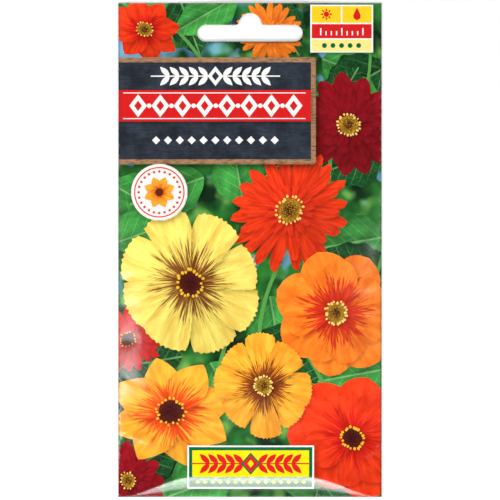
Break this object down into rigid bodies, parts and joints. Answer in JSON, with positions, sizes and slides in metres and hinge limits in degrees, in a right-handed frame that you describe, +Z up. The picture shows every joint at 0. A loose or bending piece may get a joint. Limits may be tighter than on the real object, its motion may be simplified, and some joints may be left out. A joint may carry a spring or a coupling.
{
  "type": "seed packet",
  "caption": "Flat pouch folded from one web of printed laminate film, sealed at head and foot with a fin seam behind, a punched hang slot, and loose seeds inside.",
  "frame": {"origin": "under the middle of the packet, on the surface that it lies on", "axes": "+X across the packet to the right of the printed front, +Y along it towards the hang slot, +Z up out of the printed front"},
  "size_m": [0.08, 0.15, 0.0078],
  "materials": {
    "printed_film": "gloss laminate, printed",
    "seed_husk": "dry, wrinkled"
  },
  "bodies": {
    "root": {"film_web": "printed_film", "seed_1": "seed_husk", "seed_2": "seed_husk", "seed_3": "seed_husk", "seed_4": "seed_husk", "seed_5": "seed_husk", "seed_6": "seed_husk", "seed_7": "seed_husk", "seed_8": "seed_husk", "seed_9": "seed_husk"}
  },
  "joints": []
}
